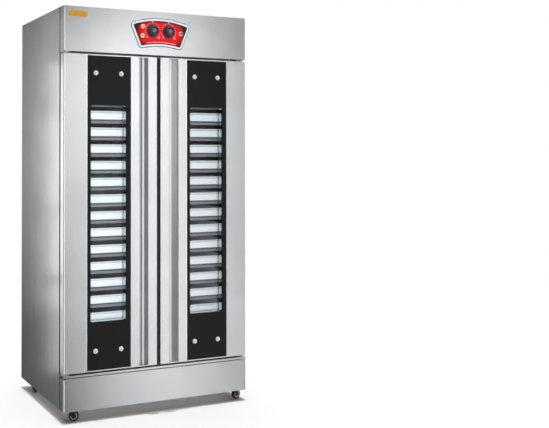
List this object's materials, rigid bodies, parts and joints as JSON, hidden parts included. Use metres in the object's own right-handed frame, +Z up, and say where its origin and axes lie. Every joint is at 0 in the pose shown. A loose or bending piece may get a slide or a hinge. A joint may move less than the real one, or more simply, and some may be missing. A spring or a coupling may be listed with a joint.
{
  "type": "dough proofer",
  "caption": "Insulated dough proofer cabinet on castors, with windowed doors, trough handles, a tray rack, a humidifier pan and a header with knobs, lamps and a push button.",
  "frame": {"origin": "on the floor, at the centre of the bounding box seen from above", "axes": "+Z up, -Y towards the front with the doors, +X towards the right-hand door"},
  "size_m": [1, 0.779, 2],
  "materials": {
    "cabinet_steel": "brushed stainless",
    "door_steel": "brushed stainless",
    "inner_steel": "satin stainless",
    "insulation_wool": "mineral wool",
    "black_glass": "black enamelled glass",
    "clear_glass": "clear toughened glass",
    "handle_aluminium": "satin anodised",
    "seal_rubber": "matt black",
    "stud_chrome": "polished",
    "tray_metal": "satin",
    "rack_steel": "satin",
    "heater_sheath": "heat-tinted",
    "lamp_lens": "frosted",
    "bezel_chrome": "satin chrome",
    "panel_red": "gloss red print",
    "control_black": "satin",
    "knob_black": "gloss",
    "lamp_amber": "translucent",
    "lamp_green": "translucent",
    "button_red": "gloss",
    "ring_chrome": "polished",
    "gland_black": "satin",
    "castor_zinc": "dark zinc",
    "hub_grey": "satin",
    "tyre_black": "matt"
  },
  "bodies": {
    "cabinet": {"side_panel_left": "cabinet_steel", "side_panel_right": "cabinet_steel", "back_panel": "cabinet_steel", "roof_panel": "cabinet_steel", "base_pan": "cabinet_steel", "kick_panel": "cabinet_steel", "door_sill": "cabinet_steel", "header_fascia": "cabinet_steel", "chamber_liner": "inner_steel", "insulation": "insulation_wool", "rack_posts": "rack_steel", "tray_runners": "rack_steel", "cross_bars": "rack_steel", "trays_left": "tray_metal", "trays_right": "tray_metal", "water_pan": "inner_steel", "heater_element": "heater_sheath", "chamber_lamp": "lamp_lens", "hinge_brackets": "cabinet_steel", "control_plate": "panel_red", "control_bezel": "bezel_chrome", "rotary_controls": "control_black", "lamp_heating": "lamp_amber", "lamp_ready": "lamp_green", "button_housing": "ring_chrome", "cord_gland": "gland_black", "castor_plates": "castor_zinc"},
    "door_left": {"door_skin_left": "door_steel", "handle_profile_left": "handle_aluminium", "door_panel_left": "black_glass", "panel_studs_left": "stud_chrome", "door_glazing_left": "clear_glass", "door_liner_left": "inner_steel", "door_infill_left": "insulation_wool", "door_gasket_left": "seal_rubber", "meeting_seal": "seal_rubber"},
    "door_right": {"door_skin_right": "door_steel", "handle_profile_right": "handle_aluminium", "door_panel_right": "black_glass", "panel_studs_right": "stud_chrome", "door_glazing_right": "clear_glass", "door_liner_right": "inner_steel", "door_infill_right": "insulation_wool", "door_gasket_right": "seal_rubber"},
    "knob_left": {"knob_left": "knob_black"},
    "knob_right": {"knob_right": "knob_black"},
    "push_button": {"push_button": "button_red"},
    "castor_front_left": {"castor_fork_front_left": "castor_zinc"},
    "wheel_front_left": {"castor_hub_front_left": "hub_grey", "castor_tyre_front_left": "tyre_black"},
    "castor_front_right": {"castor_fork_front_right": "castor_zinc"},
    "wheel_front_right": {"castor_hub_front_right": "hub_grey", "castor_tyre_front_right": "tyre_black"},
    "castor_rear_left": {"castor_fork_rear_left": "castor_zinc"},
    "wheel_rear_left": {"castor_hub_rear_left": "hub_grey", "castor_tyre_rear_left": "tyre_black"},
    "castor_rear_right": {"castor_fork_rear_right": "castor_zinc"},
    "wheel_rear_right": {"castor_hub_rear_right": "hub_grey", "castor_tyre_rear_right": "tyre_black"}
  },
  "joints": [
    {"name": "door_left_hinge", "type": "hinge", "parent": "cabinet", "child": "door_left", "pos_m": [-0.485, -0.3395, 1.0035], "axis": [0, 0, -1], "range_deg": [0, 120]},
    {"name": "door_right_hinge", "type": "hinge", "parent": "cabinet", "child": "door_right", "pos_m": [0.485, -0.3395, 1.0035], "axis": [0, 0, 1], "range_deg": [0, 120]},
    {"name": "knob_left_turn", "type": "hinge", "parent": "cabinet", "child": "knob_left", "pos_m": [-0.034, -0.3615, 1.903], "axis": [0, 1, 0], "range_deg": [0, 270]},
    {"name": "knob_right_turn", "type": "hinge", "parent": "cabinet", "child": "knob_right", "pos_m": [0.054, -0.3615, 1.903], "axis": [0, 1, 0], "range_deg": [0, 270]},
    {"name": "button_press", "type": "slide", "parent": "cabinet", "child": "push_button", "axis": [0, 1, 0], "range_m": [0, 0.003], "stiffness_N_per_m": 300},
    {"name": "castor_front_left_swivel", "type": "hinge", "parent": "cabinet", "child": "castor_front_left", "pos_m": [-0.451, -0.3135, 0.056], "axis": [0, 0, 1], "continuous": true},
    {"name": "wheel_front_left_roll", "type": "hinge", "parent": "castor_front_left", "child": "wheel_front_left", "pos_m": [-0.43209, -0.32001, 0.025], "axis": [0.3256, 0.9455, 0], "continuous": true},
    {"name": "castor_front_right_swivel", "type": "hinge", "parent": "cabinet", "child": "castor_front_right", "pos_m": [0.451, -0.3135, 0.056], "axis": [0, 0, 1], "continuous": true},
    {"name": "wheel_front_right_roll", "type": "hinge", "parent": "castor_front_right", "child": "wheel_front_right", "pos_m": [0.47013, -0.30765, 0.025], "axis": [-0.2924, 0.9563, 0], "continuous": true},
    {"name": "castor_rear_left_swivel", "type": "hinge", "parent": "cabinet", "child": "castor_rear_left", "pos_m": [-0.451, 0.2635, 0.056], "axis": [0, 0, 1], "continuous": true},
    {"name": "wheel_rear_left_roll", "type": "hinge", "parent": "castor_rear_left", "child": "wheel_rear_left", "pos_m": [-0.45784, 0.24471, 0.025], "axis": [0.9397, -0.342, 0], "continuous": true},
    {"name": "castor_rear_right_swivel", "type": "hinge", "parent": "cabinet", "child": "castor_rear_right", "pos_m": [0.451, 0.2635, 0.056], "axis": [0, 0, 1], "continuous": true},
    {"name": "wheel_rear_right_roll", "type": "hinge", "parent": "castor_rear_right", "child": "wheel_rear_right", "pos_m": [0.43221, 0.25666, 0.025], "axis": [0.342, -0.9397, 0], "continuous": true}
  ]
}
